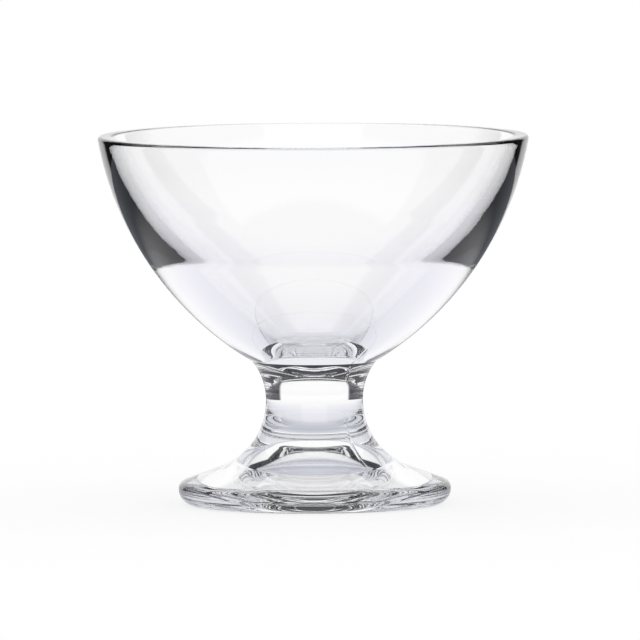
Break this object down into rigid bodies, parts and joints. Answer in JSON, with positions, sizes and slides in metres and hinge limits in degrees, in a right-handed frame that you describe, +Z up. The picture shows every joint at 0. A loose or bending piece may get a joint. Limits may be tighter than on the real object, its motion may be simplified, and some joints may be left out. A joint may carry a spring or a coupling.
{
  "type": "sundae coupe",
  "caption": "Clear glass sundae coupe: a deep round open bowl on a short waisted stem and a hollow bell foot, for serving ice cream and desserts.",
  "frame": {"origin": "on the table plane, on the glass's axis, at the centre of the foot's bearing ring", "axes": "+Z up along the axis of revolution; -Y is the side that faces the camera in the picture; +X to its right"},
  "size_m": [0.105, 0.105, 0.09],
  "materials": {
    "clear_glass": "clear, fire-polished pressed glass"
  },
  "bodies": {
    "root": {"bowl": "clear_glass", "stem": "clear_glass", "foot": "clear_glass"}
  },
  "joints": []
}
